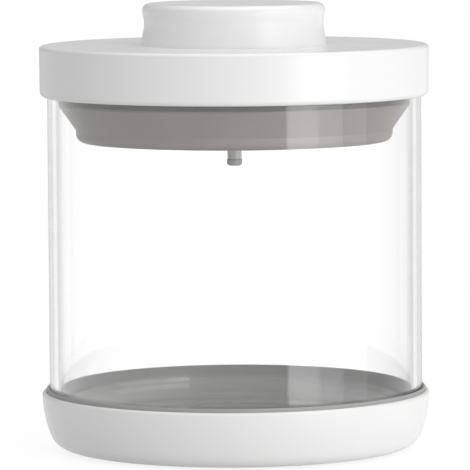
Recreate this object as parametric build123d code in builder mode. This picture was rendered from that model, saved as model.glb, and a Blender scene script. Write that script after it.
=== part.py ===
from build123d import *
from math import asin, atan2, cos, degrees, pi
import os

# Vacuum canister: a clear jar standing in a white base cup, and a white lid that holds a
# hand pump. Turning the knob works the piston, and the button in the knob lets air back in.
# Sizes are in millimetres and heights run up from the table, with the axis of the jar on Z.

os.makedirs("parts", exist_ok=True)

# Clearances shared by all the pieces
seat_gap = 0.1  # faces that rest on each other and come apart
fit_gap = 0.05  # pieces fixed to each other
running_gap = 0.25  # pieces that slide or turn on each other
end_gap = 0.4  # room left at the end of a travel
thread_gap = 0.02  # a screw or pin in its own hole
side_clearance = 0.85  # room beside a screw head or a flap
cut_overrun = 1.0  # how far a cut runs past the face that it opens

# Jar
jar_radius = 72.0
jar_wall = 4.0
jar_height = 139.5
jar_floor = 5.5
jar_foot_round = 12.0
jar_inner_round = 8.0
jar_rim_round = 1.5
jar_punt_depth = 0.6
jar_punt_rim = 14.0

# Base cup: white shell, grey liner and the ring that it stands on
base_height = 22.2
shell_wall = 1.6
shell_floor = 2.4
shell_side_radius = 46.0
shell_corner = 8.0
shell_recess = 1.5
shell_rim_round = 0.75
foot_proud = 0.5
foot_width = 5.0
foot_inset = 20.0
foot_groove_depth = 1.1
liner_gap = 0.3
liner_wall = 0.95
liner_floor = 1.95
liner_proud = 1.4
liner_rim_round = 0.35

# Lid cover
lid_rise = 9.8
lid_drop = 9.8
lid_plate = 2.6
skirt_gap = 0.6
skirt_wall = 2.4
skirt_draft = 0.2
lid_top_round = 2.0
lid_foot_round = 2.0
lid_rib_wall = 2.0
collar_height = 2.05
collar_wall = 2.7

# Pump housing, the grey dish that hangs in the jar's mouth
housing_wall = 2.2
housing_floor = 2.6
neck_gap = 0.4
neck_wall = 3.4
neck_depth = 12.8
cone_inset = 6.6
hem_height = 4.6
hem_round = 3.2
flange_inset = 0.6
flange_thickness = 2.5
bore_inset = 11.0
bore_wall = 2.0
post_radius = 3.2
rib_thickness = 1.6

# Ring seal round the neck
seal_height = 2.1
seal_depth = 1.7
seal_lift = 0.8
seal_gap = 0.3

# Pump chamber cover with the tube that guides the piston rod
cover_plate = 2.4
cover_rim_gap = 4.0
guide_wall = 2.4
guide_ring = 2.0
vent_hole_radius = 2.0
vent_hole_inset = 10.0

# Piston, its rod and its drive pins
stroke = 10.0
turn_angle = 120.0
piston_height = 5.2
piston_gap = 0.8
piston_web = 2.4
piston_rim = 4.2
piston_hub_radius = 10.0
piston_seal_height = 2.2
piston_seal_depth = 2.2
rod_radius = 8.0
rod_bore_radius = 3.3
spigot_radius = 5.2
pin_radius = 1.6
pin_reach = 5.8
pin_inset = 1.0
clip_thickness = 0.8
clip_depth = 0.7
clip_reach = 3.0
clip_recess = 1.7
tube_seal_thickness = 1.1

# Cam sleeve that turns with the knob
sleeve_wall = 4.05
sleeve_ring = 2.0
sleeve_flange = 2.2
sleeve_flange_rim = 3.5
sleeve_cap = 1.6
sleeve_cap_rise = 1.25
washer_thickness = 0.5
ring_thickness = 1.0
ring_depth = 0.8
ring_reach = 2.8
ring_mouth = 7.0

# Knob
knob_gap = 0.15
knob_height = 15.85
knob_foot_radius = 35.8
knob_foot_edge = 0.45
knob_waist_radius = 34.3
knob_lip_radius = 35.65
knob_waist_share = 0.49  # of the knob's height
knob_wall = 2.2
knob_plate = 2.4
knob_lip_round = 2.7
knob_waist_round = 14.0
well_wall = 1.8

# Release button, stem, valve and spring
button_radius = 12.9
button_travel = 2.5
button_height = 3.7
button_lug = 1.5
button_skirt = 1.5
button_recess = 1.5
button_boss_wall = 2.1
button_dish = 0.35
button_round = 0.5
stem_radius = 1.3
tube_radius = 2.75
tube_wall = 0.8
tube_flange_radius = 6.5
tube_flange = 1.0
tube_rise = 1.4
nozzle_length = 7.2
valve_radius = 2.95
valve_height = 2.5
valve_round = 1.1
spring_radius = 7.0
spring_wire_radius = 0.4
spring_turns = 4

# Flap valves and the filter disc
flap_thickness = 0.7
flap_radius = 13.0
port_radius = 1.5
port_circle = 9.5
port_count = 6
filter_inner_radius = 5.2
filter_outer_radius = 14.8
filter_depth = 0.9
exhaust_circle = 17.0
exhaust_radius = 21.0
exhaust_clamp_wall = 3.8
exhaust_clamp_height = 1.2

# Screws
screw_radius = 1.45
screw_head_radius = 2.6
screw_head_height = 1.6
socket_radius = 1.4
socket_depth = 0.9
lid_screw_offset = 3.0
lid_screw_count = 4
lid_screw_length = 10.0
cover_screw_inset = 4.8
cover_screw_count = 6
cover_screw_length = 9.0
knob_screw_count = 3
knob_screw_length = 7.0

# Radii that follow from the jar
base_radius = jar_radius + liner_gap + liner_wall + fit_gap + shell_wall
side_centre = base_radius - shell_side_radius
foot_circle = jar_radius - foot_inset
jar_inner_radius = jar_radius - jar_wall
skirt_inner_radius = jar_radius + skirt_gap
lid_radius = skirt_inner_radius + skirt_wall
neck_radius = jar_inner_radius - neck_gap
neck_inner_radius = neck_radius - neck_wall
cone_radius = neck_radius - cone_inset
bore_radius = cone_radius - bore_inset
cover_screw_circle = cone_radius - cover_screw_inset
vent_hole_circle = bore_radius - vent_hole_inset
flange_radius = jar_radius - flange_inset
lid_rib_radius = (neck_radius + flange_radius) / 2

# Radii that follow from the piston rod
guide_bore_radius = rod_radius + running_gap
guide_outer_radius = guide_bore_radius + guide_wall
sleeve_bore_radius = guide_outer_radius + running_gap
sleeve_radius = sleeve_bore_radius + sleeve_wall
collar_bore_radius = sleeve_radius + end_gap
collar_radius = collar_bore_radius + collar_wall
knob_screw_circle = collar_radius + side_clearance + screw_head_radius
sleeve_flange_radius = knob_screw_circle + sleeve_flange_rim
lid_screw_circle = sleeve_flange_radius + lid_screw_offset
piston_radius = bore_radius - piston_gap
stem_hole_radius = stem_radius + end_gap
button_hole_radius = button_radius + running_gap
well_radius = button_radius + button_lug + end_gap
pin_end_radius = rod_radius + pin_reach

# Heights of the base and the jar
shell_floor_top = foot_proud + shell_recess + shell_floor
liner_floor_top = shell_floor_top + fit_gap + liner_floor
jar_bottom = liner_floor_top + fit_gap
jar_top = jar_bottom + jar_height

# Heights of the lid, the knob and the button
flange_under = jar_top + seat_gap
flange_top = flange_under + flange_thickness
lid_top = jar_top + lid_rise
lid_ceiling = lid_top - lid_plate
lid_bottom = jar_top - lid_drop
collar_top = lid_top + collar_height
knob_bottom = lid_top + knob_gap
knob_top = knob_bottom + knob_height
knob_ceiling = knob_top - knob_plate
button_under = knob_top - button_height
well_bottom = button_under - button_travel - end_gap

# Heights of the drive, from the knob down to the floor of the pump
sleeve_flange_under = collar_top + washer_thickness + fit_gap
sleeve_flange_top = sleeve_flange_under + sleeve_flange
sleeve_cap_top = sleeve_flange_top + sleeve_cap_rise
sleeve_cap_under = sleeve_cap_top - sleeve_cap
button_boss_bottom = sleeve_cap_top + button_travel + end_gap
guide_top = sleeve_cap_under - end_gap
pin_height = guide_top - guide_ring - running_gap - pin_radius - stroke
cam_lead = stroke * 360 / turn_angle
cam_slope = atan2(cam_lead, 2 * pi * sleeve_bore_radius)
slot_half_height = pin_radius / cos(cam_slope) + running_gap
sleeve_bottom = pin_height - slot_half_height - sleeve_ring
cover_top = sleeve_bottom - end_gap
cover_under = cover_top - cover_plate
piston_top = cover_under - end_gap - stroke
piston_bottom = piston_top - piston_height
rod_top = guide_top - stroke
tube_flange_top = piston_bottom - end_gap
flap_top = tube_flange_top - tube_flange
floor_top = flap_top - flap_thickness
housing_bottom = floor_top - housing_floor
neck_bottom = jar_top - neck_depth
cone_bottom = housing_bottom + hem_height
tube_bottom = housing_bottom - nozzle_length
tube_top = pin_height - pin_radius - tube_rise


def ring(inner, outer, low, high, mode=Mode.ADD):
    """A flat-ended ring about the axis, or a disc where the inner radius is zero."""
    with BuildSketch(Plane.XY.offset(low)) as outline:
        Circle(outer)
        if inner > 0:
            Circle(inner, mode=Mode.SUBTRACT)
    extrude(outline.sketch, amount=high - low, mode=mode)


def turned(*corners, mode=Mode.ADD):
    """A piece turned about the axis. A corner is radius, height and, if round, its radius."""
    with BuildSketch(Plane.XZ) as section:
        with BuildLine():
            Polyline(*[(corner[0], corner[1]) for corner in corners], close=True)
        make_face()
        for corner in corners:
            if len(corner) > 2:
                point = (corner[0], corner[1], 0)
                fillet(section.vertices().sort_by_distance(point)[0], corner[2])
    revolve(section.sketch, axis=Axis.Z, mode=mode)


def holes(radius, circle, count, low, high, start=0, mode=Mode.SUBTRACT):
    """Round holes or pegs, evenly spaced on a circle about the axis."""
    with BuildSketch(Plane.XY.offset(low)) as outline:
        with PolarLocations(circle, count, start):
            Circle(radius)
    extrude(outline.sketch, amount=high - low, mode=mode)


def spokes(inner, outer, count, low, high, start=0):
    """Straight ribs that run outwards between two radii."""
    with BuildSketch(Plane.XY.offset(low)) as outline:
        with PolarLocations((inner + outer) / 2, count, start):
            Rectangle(outer - inner, rib_thickness)
    extrude(outline.sketch, amount=high - low)


def screws(circle, count, seat, length, facing, start=0):
    """Pan-head screws on a circle. The heads stand on the seat, up or down by facing."""
    holes(screw_radius, circle, count, seat, seat - facing * length, start, Mode.ADD)
    crown = seat + facing * screw_head_height
    holes(screw_head_radius, circle, count, seat, crown, start, Mode.ADD)
    with BuildSketch(Plane.XY.offset(crown)) as sockets:
        with PolarLocations(circle, count, start):
            RegularPolygon(socket_radius, 6)
    extrude(sockets.sketch, amount=-facing * socket_depth, mode=Mode.SUBTRACT)


def bowl(inset, low, corner, high, mode=Mode.ADD):
    """A solid with the base cup's curved side, set in from its outside by the inset."""
    arc_radius = shell_side_radius - inset
    rim_radius = side_centre + arc_radius
    fall = degrees(asin((base_height - low) / arc_radius))
    with BuildSketch(Plane.XZ) as section:
        with BuildLine():
            side = CenterArc((side_centre, base_height), arc_radius, 0, -fall)
            Polyline(side @ 1, (0, low), (0, high), (rim_radius, high))
            if high > base_height:
                Line((rim_radius, high), side @ 0)
        make_face()
        fillet(section.vertices().group_by(Axis.Y)[0].sort_by(Axis.X)[-1], corner)
    revolve(section.sketch, axis=Axis.Z, mode=mode)


def round_rim(piece, high, radius):
    """Round the two edges of an upright wall's top."""
    rims = piece.edges().filter_by(GeomType.CIRCLE)
    fillet(rims.filter_by(lambda edge: abs(edge.center().Z - high) < thread_gap), radius)


# Base cup: moulded shell, recessed underneath inside the ring that it stands on
with BuildPart() as base_shell:
    bowl(0, foot_proud, shell_corner, base_height)
    inner_corner = shell_corner - shell_wall
    bowl(shell_wall, shell_floor_top, inner_corner, base_height + cut_overrun, Mode.SUBTRACT)
    recess_radius = foot_circle - foot_width
    ring(0, recess_radius, foot_proud, foot_proud + shell_recess, Mode.SUBTRACT)
    groove_inner = foot_circle - foot_width / 2 - fit_gap
    groove_outer = foot_circle + foot_width / 2 + fit_gap
    groove_top = foot_proud + foot_groove_depth
    ring(groove_inner, groove_outer, foot_proud, groove_top, Mode.SUBTRACT)
    round_rim(base_shell, base_height, shell_rim_round)
base_shell.part.label = "base_shell"
export_step(base_shell.part, "parts/base_shell.step")

# Non-slip ring pressed into the groove under the shell
with BuildPart() as foot_ring:
    foot_inner = foot_circle - foot_width / 2
    foot_outer = foot_circle + foot_width / 2
    foot_top = foot_proud + foot_groove_depth - fit_gap
    turned(
        (foot_inner, 0, foot_proud),
        (foot_outer, 0, foot_proud),
        (foot_outer, foot_top),
        (foot_inner, foot_top),
    )
foot_ring.part.label = "foot_ring"
export_step(foot_ring.part, "parts/foot_ring.step")

# Soft liner that grips the jar; its lip stands a little above the shell's rim
with BuildPart() as base_liner:
    liner_top = base_height + liner_proud
    liner_inset = shell_wall + fit_gap
    bowl(liner_inset, shell_floor_top + fit_gap, shell_corner - liner_inset, liner_top)
    socket = jar_radius + liner_gap
    turned(
        (0, liner_floor_top),
        (socket, liner_floor_top, jar_foot_round + liner_gap),
        (socket, liner_top + cut_overrun),
        (0, liner_top + cut_overrun),
        mode=Mode.SUBTRACT,
    )
    round_rim(base_liner, liner_top, liner_rim_round)
base_liner.part.label = "base_liner"
export_step(base_liner.part, "parts/base_liner.step")

# Clear jar, open at the top, with a thick floor pushed up a little underneath
with BuildPart() as jar:
    jar_floor_top = jar_bottom + jar_floor
    turned(
        (0, jar_bottom),
        (jar_radius, jar_bottom, jar_foot_round),
        (jar_radius, jar_top, jar_rim_round),
        (jar_inner_radius, jar_top, jar_rim_round),
        (jar_inner_radius, jar_floor_top, jar_inner_round),
        (0, jar_floor_top),
    )
    punt_radius = jar_radius - jar_foot_round - jar_punt_rim
    ring(0, punt_radius, jar_bottom, jar_bottom + jar_punt_depth, Mode.SUBTRACT)
jar.part.label = "jar"
export_step(jar.part, "parts/jar.step")

# Lid cover with its skirt, the rib that meets the housing and the collar under the knob
with BuildPart() as lid_cover:
    rib_inner = lid_rib_radius - lid_rib_wall / 2
    rib_outer = lid_rib_radius + lid_rib_wall / 2
    turned(
        (collar_bore_radius, collar_top),
        (collar_radius, collar_top),
        (collar_radius, lid_top),
        (lid_radius, lid_top, lid_top_round),
        (lid_radius - skirt_draft, lid_bottom, lid_foot_round),
        (skirt_inner_radius, lid_bottom),
        (skirt_inner_radius, lid_ceiling),
        (rib_outer, lid_ceiling),
        (rib_outer, flange_top + fit_gap),
        (rib_inner, flange_top + fit_gap),
        (rib_inner, lid_ceiling),
        (collar_bore_radius, lid_ceiling),
    )
    lid_hole = screw_radius + fit_gap
    holes(lid_hole, lid_screw_circle, lid_screw_count, lid_ceiling, lid_top, 45)
lid_cover.part.label = "lid_cover"
export_step(lid_cover.part, "parts/lid_cover.step")

# Pump housing: flange on the jar's rim, neck, cone, hem and floor, with the pump's bore
with BuildPart() as pump_housing:
    groove_low = neck_bottom + seal_lift
    groove_high = groove_low + seal_height
    cone_inner_radius = cone_radius - housing_wall
    bore_outer_radius = bore_radius + bore_wall
    turned(
        (0, housing_bottom),
        (cone_radius, housing_bottom, hem_round),
        (cone_radius, cone_bottom),
        (neck_radius, neck_bottom),
        (neck_radius, groove_low),
        (neck_radius - seal_depth, groove_low),
        (neck_radius - seal_depth, groove_high),
        (neck_radius, groove_high),
        (neck_radius, flange_under),
        (flange_radius, flange_under),
        (flange_radius, flange_top),
        (neck_inner_radius, flange_top),
        (neck_inner_radius, neck_bottom),
        (cone_inner_radius, cone_bottom),
        (cone_inner_radius, floor_top),
        (bore_outer_radius, floor_top),
        (bore_outer_radius, cover_under),
        (bore_radius, cover_under),
        (bore_radius, floor_top),
        (0, floor_top),
    )
    holes(post_radius, cover_screw_circle, cover_screw_count, floor_top, cover_under, 0, Mode.ADD)
    spokes(bore_outer_radius - fit_gap, cover_screw_circle, cover_screw_count, floor_top, cover_under)
    pilot_low = cover_top - cover_screw_length - end_gap
    pilot = screw_radius + thread_gap
    holes(pilot, cover_screw_circle, cover_screw_count, pilot_low, cover_under)
    pocket_inner = filter_inner_radius - fit_gap
    pocket_outer = filter_outer_radius + fit_gap
    pocket_top = housing_bottom + filter_depth
    ring(pocket_inner, pocket_outer, housing_bottom, pocket_top, Mode.SUBTRACT)
    holes(port_radius, port_circle, port_count, pocket_top, floor_top)
    ring(0, tube_radius + thread_gap, housing_bottom, floor_top, Mode.SUBTRACT)
pump_housing.part.label = "pump_housing"
export_step(pump_housing.part, "parts/pump_housing.step")

# Ring seal with two lips, stretched into the groove round the housing's neck
with BuildPart() as jar_seal:
    seal_inner = neck_radius - seal_depth + fit_gap
    seal_outer = jar_inner_radius - seal_gap
    seal_low = groove_low + fit_gap
    seal_high = groove_high - fit_gap
    seal_middle = (seal_low + seal_high) / 2
    lip_height = (seal_high - seal_low) / 4
    turned(
        (seal_inner, seal_low),
        (neck_radius, seal_low),
        (seal_outer, seal_low + lip_height),
        (neck_radius, seal_middle),
        (seal_outer, seal_high - lip_height),
        (neck_radius, seal_high),
        (seal_inner, seal_high),
    )
jar_seal.part.label = "jar_seal"
export_step(jar_seal.part, "parts/jar_seal.step")

# Fine filter in a pocket under the floor, over the intake ports
with BuildPart() as filter_disc:
    filter_low = housing_bottom + fit_gap
    filter_high = pocket_top - fit_gap
    ring(filter_inner_radius, filter_outer_radius, filter_low, filter_high)
filter_disc.part.label = "filter_disc"
export_step(filter_disc.part, "parts/filter_disc.step")

# Intake flap: a thin disc that lifts off the ports when the piston rises
with BuildPart() as intake_flap:
    ring(tube_radius + fit_gap, flap_radius, floor_top, flap_top)
intake_flap.part.label = "intake_flap"
export_step(intake_flap.part, "parts/intake_flap.step")

# Vent tube: its flange holds the flap down, and its lower end is the nozzle in the jar
with BuildPart() as vent_tube:
    tube_bore = tube_radius - tube_wall
    turned(
        (tube_bore, tube_bottom),
        (tube_radius, tube_bottom),
        (tube_radius, flap_top),
        (tube_flange_radius, flap_top),
        (tube_flange_radius, tube_flange_top),
        (tube_radius, tube_flange_top),
        (tube_radius, tube_top),
        (tube_bore, tube_top),
    )
vent_tube.part.label = "vent_tube"
export_step(vent_tube.part, "parts/vent_tube.step")

# Chamber cover over the bore: guide tube with two upright slots, and posts for the lid
with BuildPart() as chamber_cover:
    ring(0, neck_inner_radius - cover_rim_gap, cover_under, cover_top)
    ring(0, guide_outer_radius, cover_under, guide_top)
    ring(0, guide_bore_radius, cover_under, guide_top, Mode.SUBTRACT)
    holes(post_radius, lid_screw_circle, lid_screw_count, cover_top, lid_ceiling, 45, Mode.ADD)
    pilot_low = lid_top - lid_screw_length - end_gap
    holes(pilot, lid_screw_circle, lid_screw_count, pilot_low, lid_ceiling, 45)
    cover_hole = screw_radius + fit_gap
    holes(cover_hole, cover_screw_circle, cover_screw_count, cover_under, cover_top)
    holes(vent_hole_radius, vent_hole_circle, lid_screw_count, cover_under, cover_top)
    slot_width = 2 * (pin_radius + running_gap)
    with BuildSketch(Plane.YZ):
        with Locations((0, pin_height + stroke / 2)):
            SlotOverall(stroke + slot_width, slot_width, rotation=90)
    extrude(amount=sleeve_radius, both=True, mode=Mode.SUBTRACT)
chamber_cover.part.label = "chamber_cover"
export_step(chamber_cover.part, "parts/chamber_cover.step")

# Screws that hold the cover down on the housing, and the lid down on the cover
with BuildPart() as cover_screws:
    screws(cover_screw_circle, cover_screw_count, cover_top, cover_screw_length, 1)
cover_screws.part.label = "cover_screws"
export_step(cover_screws.part, "parts/cover_screws.step")

with BuildPart() as lid_screws:
    screws(lid_screw_circle, lid_screw_count, lid_top, lid_screw_length, 1, 45)
lid_screws.part.label = "lid_screws"
export_step(lid_screws.part, "parts/lid_screws.step")

# Piston disc with its hub, web, ribs, rim and exhaust ports
with BuildPart() as piston:
    rim_groove_low = (piston_bottom + piston_top - piston_seal_height) / 2
    rim_groove_high = rim_groove_low + piston_seal_height
    web_top = piston_bottom + piston_web
    rim_inner = piston_radius - piston_rim
    recess_top = piston_bottom + clip_recess
    clip_outer = spigot_radius + clip_reach
    turned(
        (clip_outer + end_gap, piston_bottom),
        (piston_radius, piston_bottom),
        (piston_radius, rim_groove_low),
        (piston_radius - piston_seal_depth, rim_groove_low),
        (piston_radius - piston_seal_depth, rim_groove_high),
        (piston_radius, rim_groove_high),
        (piston_radius, piston_top),
        (rim_inner, piston_top),
        (rim_inner, web_top),
        (piston_hub_radius, web_top),
        (piston_hub_radius, piston_top),
        (spigot_radius + fit_gap, piston_top),
        (spigot_radius + fit_gap, recess_top),
        (clip_outer + end_gap, recess_top),
    )
    rib_start = exhaust_radius + side_clearance
    spokes(rib_start, rim_inner + fit_gap, port_count, web_top - fit_gap, piston_top - end_gap)
    holes(port_radius, exhaust_circle, port_count, piston_bottom, web_top, 30)
piston.part.label = "piston"
export_step(piston.part, "parts/piston.step")

# Seal round the piston's rim
with BuildPart() as piston_seal:
    ring(
        piston_radius - piston_seal_depth + fit_gap,
        bore_radius - running_gap,
        rim_groove_low + fit_gap,
        rim_groove_high - fit_gap,
    )
piston_seal.part.label = "piston_seal"
export_step(piston_seal.part, "parts/piston_seal.step")

# Exhaust flap on top of the piston, and the ring that clamps its middle
with BuildPart() as exhaust_flap:
    exhaust_top = web_top + flap_thickness
    ring(piston_hub_radius + fit_gap, exhaust_radius, web_top, exhaust_top)
exhaust_flap.part.label = "exhaust_flap"
export_step(exhaust_flap.part, "parts/exhaust_flap.step")

with BuildPart() as flap_clamp:
    clamp_inner = piston_hub_radius + thread_gap
    clamp_outer = piston_hub_radius + exhaust_clamp_wall
    ring(clamp_inner, clamp_outer, exhaust_top, exhaust_top + exhaust_clamp_height)
flap_clamp.part.label = "flap_clamp"
export_step(flap_clamp.part, "parts/flap_clamp.step")

# Hollow piston rod: its spigot goes through the hub and the vent tube runs inside it
with BuildPart() as piston_rod:
    clip_high = recess_top - fit_gap
    clip_low = clip_high - clip_thickness
    spigot_bottom = clip_low - clip_depth
    seal_pocket = tube_seal_thickness + running_gap
    pocket_low = recess_top + running_gap
    pocket_high = pocket_low + seal_pocket + running_gap
    pocket_radius = tube_radius + running_gap + tube_seal_thickness
    turned(
        (rod_bore_radius, spigot_bottom),
        (spigot_radius, spigot_bottom),
        (spigot_radius, clip_low - fit_gap),
        (spigot_radius - clip_depth, clip_low - fit_gap),
        (spigot_radius - clip_depth, clip_high + fit_gap),
        (spigot_radius, clip_high + fit_gap),
        (spigot_radius, piston_top),
        (rod_radius, piston_top),
        (rod_radius, rod_top),
        (rod_bore_radius, rod_top),
        (rod_bore_radius, pocket_high),
        (pocket_radius, pocket_high),
        (pocket_radius, pocket_low),
        (rod_bore_radius, pocket_low),
    )
    with BuildSketch(Plane.YZ):
        with Locations((0, pin_height)):
            Circle(pin_radius + thread_gap)
    extrude(amount=rod_radius + cut_overrun, both=True, mode=Mode.SUBTRACT)
piston_rod.part.label = "piston_rod"
export_step(piston_rod.part, "parts/piston_rod.step")

# Clip that holds the rod's spigot in the piston, with a mouth to push it on
with BuildPart() as rod_clip:
    ring(spigot_radius - clip_depth + fit_gap, clip_outer, clip_low, clip_high)
    with BuildSketch(Plane.XY.offset(clip_low)):
        with Locations((clip_outer, 0)):
            Rectangle(2 * clip_outer, spigot_radius)
    extrude(amount=clip_thickness, mode=Mode.SUBTRACT)
rod_clip.part.label = "rod_clip"
export_step(rod_clip.part, "parts/rod_clip.step")

# Seal inside the rod that slides on the vent tube
with BuildPart() as tube_seal:
    bead = tube_seal_thickness / 2
    with BuildSketch(Plane.XZ) as bead_section:
        with Locations((tube_radius + running_gap + bead - fit_gap, (pocket_low + pocket_high) / 2)):
            Circle(bead)
    revolve(axis=Axis.Z)
tube_seal.part.label = "tube_seal"
export_step(tube_seal.part, "parts/tube_seal.step")

# Two drive pins that stand out of the rod, through the guide slots into the cam slots
with BuildPart() as drive_pins:
    pin_root = rod_bore_radius + pin_inset
    with BuildSketch(Plane.YZ.offset(pin_root)):
        with Locations((0, pin_height)):
            Circle(pin_radius)
    extrude(amount=pin_end_radius - pin_root)
    mirror(about=Plane.YZ)
drive_pins.part.label = "drive_pins"
export_step(drive_pins.part, "parts/drive_pins.step")

# Tool shape of one cam slot: a band that climbs by the stroke over the knob's turn
with BuildPart() as cam_slot:
    slot_lead_in = degrees((pin_radius + running_gap) / sleeve_bore_radius)
    slot_turn = turn_angle + 2 * slot_lead_in
    slot_radius = (sleeve_bore_radius + sleeve_radius) / 2
    slot_low = pin_height - cam_lead * slot_lead_in / 360
    with BuildLine():
        Helix(cam_lead, cam_lead * slot_turn / 360, slot_radius, (0, 0, slot_low), lefthand=True)
    with BuildSketch(Plane.XZ):
        with Locations((slot_radius, slot_low)):
            Rectangle(sleeve_wall + 2 * cut_overrun, 2 * slot_half_height)
    sweep(is_frenet=True)

# Cam sleeve: two slots half a turn apart, a flange for the knob and a cap for the spring
with BuildPart() as cam_sleeve:
    ring_high = lid_ceiling - running_gap
    ring_low = ring_high - ring_thickness
    ring_seat = sleeve_radius - ring_depth
    turned(
        (sleeve_bore_radius, sleeve_bottom),
        (sleeve_radius, sleeve_bottom),
        (sleeve_radius, ring_low - fit_gap),
        (ring_seat, ring_low - fit_gap),
        (ring_seat, ring_high + fit_gap),
        (sleeve_radius, ring_high + fit_gap),
        (sleeve_radius, sleeve_flange_under),
        (sleeve_flange_radius, sleeve_flange_under),
        (sleeve_flange_radius, sleeve_flange_top),
        (sleeve_radius, sleeve_flange_top),
        (sleeve_radius, sleeve_cap_top),
        (stem_hole_radius, sleeve_cap_top),
        (stem_hole_radius, sleeve_cap_under),
        (sleeve_bore_radius, sleeve_cap_under),
    )
    with Locations((0, 0, 0), Rotation(0, 0, 180)):
        add(cam_slot.part.rotate(Axis.Z, slot_lead_in), mode=Mode.SUBTRACT)
    holes(
        screw_radius + fit_gap,
        knob_screw_circle,
        knob_screw_count,
        sleeve_flange_under,
        sleeve_flange_top,
        90,
    )
cam_sleeve.part.label = "cam_sleeve"
export_step(cam_sleeve.part, "parts/cam_sleeve.step")

# Slippery washer that the sleeve's flange turns on
with BuildPart() as bearing_washer:
    ring(collar_bore_radius, collar_radius, collar_top, collar_top + washer_thickness)
bearing_washer.part.label = "bearing_washer"
export_step(bearing_washer.part, "parts/bearing_washer.step")

# Retaining ring under the lid that keeps the sleeve and the knob from lifting out
with BuildPart() as retaining_ring:
    ring(ring_seat + fit_gap, sleeve_radius + ring_reach, ring_low, ring_high)
    with BuildSketch(Plane.XY.offset(ring_low)):
        with Locations((0, sleeve_radius)):
            Rectangle(ring_mouth, sleeve_radius)
    extrude(amount=ring_thickness, mode=Mode.SUBTRACT)
retaining_ring.part.label = "retaining_ring"
export_step(retaining_ring.part, "parts/retaining_ring.step")

# Knob: a waisted cap with a flared foot, a well for the button and posts for its screws
with BuildPart() as knob:
    foot_edge = knob_bottom + knob_foot_edge
    foot_inner = knob_foot_radius - knob_wall
    waist_inner = knob_waist_radius - knob_wall
    waist_height = knob_bottom + knob_height * knob_waist_share
    turned(
        (button_hole_radius, knob_top),
        (knob_lip_radius, knob_top, knob_lip_round),
        (knob_waist_radius, waist_height, knob_waist_round),
        (knob_foot_radius, foot_edge),
        (knob_foot_radius, knob_bottom),
        (foot_inner, knob_bottom),
        (foot_inner, foot_edge),
        (waist_inner, waist_height),
        (waist_inner, knob_ceiling),
        (well_radius + well_wall, knob_ceiling),
        (well_radius + well_wall, well_bottom),
        (well_radius, well_bottom),
        (well_radius, knob_ceiling),
        (button_hole_radius, knob_ceiling),
    )
    post_low = sleeve_flange_top
    holes(
        post_radius, knob_screw_circle, knob_screw_count, post_low, knob_ceiling, 90, Mode.ADD
    )
    rib_low = (well_bottom + knob_ceiling) / 2
    rib_outer_end = waist_inner + fit_gap
    rib_inner_end = knob_screw_circle + post_radius - fit_gap
    spokes(rib_inner_end, rib_outer_end, knob_screw_count, rib_low, knob_ceiling, 90)
    pilot_top = sleeve_flange_under + knob_screw_length + end_gap
    holes(pilot, knob_screw_circle, knob_screw_count, post_low, pilot_top, 90)
knob.part.label = "knob"
export_step(knob.part, "parts/knob.step")

# Screws from below that fix the knob to the sleeve's flange
with BuildPart() as knob_screws:
    screws(knob_screw_circle, knob_screw_count, sleeve_flange_under, knob_screw_length, -1, 90)
knob_screws.part.label = "knob_screws"
export_step(knob_screws.part, "parts/knob_screws.step")

# Release button: its lug ring stops under the knob's top and its boss holds the stem
with BuildPart() as release_button:
    lug_radius = button_radius + button_lug
    lug_top = knob_ceiling - fit_gap
    skirt_inner = button_radius - button_skirt
    boss_radius = stem_radius + button_boss_wall
    recess_ceiling = button_under + button_recess
    stem_seat = knob_ceiling - end_gap
    turned(
        (0, knob_top),
        (button_radius, knob_top, button_round),
        (button_radius, lug_top),
        (lug_radius, lug_top),
        (lug_radius, button_under),
        (skirt_inner, button_under),
        (skirt_inner, recess_ceiling),
        (boss_radius, recess_ceiling),
        (boss_radius, button_boss_bottom),
        (stem_radius + thread_gap, button_boss_bottom),
        (stem_radius + thread_gap, stem_seat),
        (0, stem_seat),
    )
    dish_rim = button_radius - 2 * button_round
    dish_radius = (dish_rim**2 + button_dish**2) / (2 * button_dish)
    with Locations((0, 0, knob_top + dish_radius - button_dish)):
        Sphere(dish_radius, mode=Mode.SUBTRACT)
release_button.part.label = "release_button"
export_step(release_button.part, "parts/release_button.step")

# Valve cap: a soft cap on the stem that closes the end of the nozzle
valve_top = tube_bottom - fit_gap
valve_bottom = valve_top - valve_height
stem_bottom = valve_bottom + valve_height / 2
with BuildPart() as vent_valve:
    turned(
        (0, valve_bottom),
        (valve_radius, valve_bottom, valve_round),
        (valve_radius, valve_top),
        (stem_radius + thread_gap, valve_top),
        (stem_radius + thread_gap, stem_bottom),
        (0, stem_bottom),
    )
vent_valve.part.label = "vent_valve"
export_step(vent_valve.part, "parts/vent_valve.step")

# Release stem from the button down through the sleeve, the rod and the vent tube
with BuildPart() as release_stem:
    ring(0, stem_radius, stem_bottom, stem_seat)
release_stem.part.label = "release_stem"
export_step(release_stem.part, "parts/release_stem.step")

# Button spring, coiled round the button's boss and standing on the sleeve's cap
with BuildPart() as button_spring:
    spring_low = sleeve_cap_top + spring_wire_radius + fit_gap
    spring_high = recess_ceiling - spring_wire_radius - fit_gap
    spring_pitch = (spring_high - spring_low) / spring_turns
    with BuildLine() as spring_line:
        Helix(spring_pitch, spring_high - spring_low, spring_radius, (0, 0, spring_low))
    with BuildSketch(Plane(spring_line.line @ 0, z_dir=spring_line.line % 0)):
        Circle(spring_wire_radius)
    sweep(is_frenet=True)
button_spring.part.label = "button_spring"
export_step(button_spring.part, "parts/button_spring.step")
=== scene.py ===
from math import atan2, cos, pi, radians, sin, sqrt, tan

import bmesh
import bpy
from mathutils import Matrix, Vector


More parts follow.
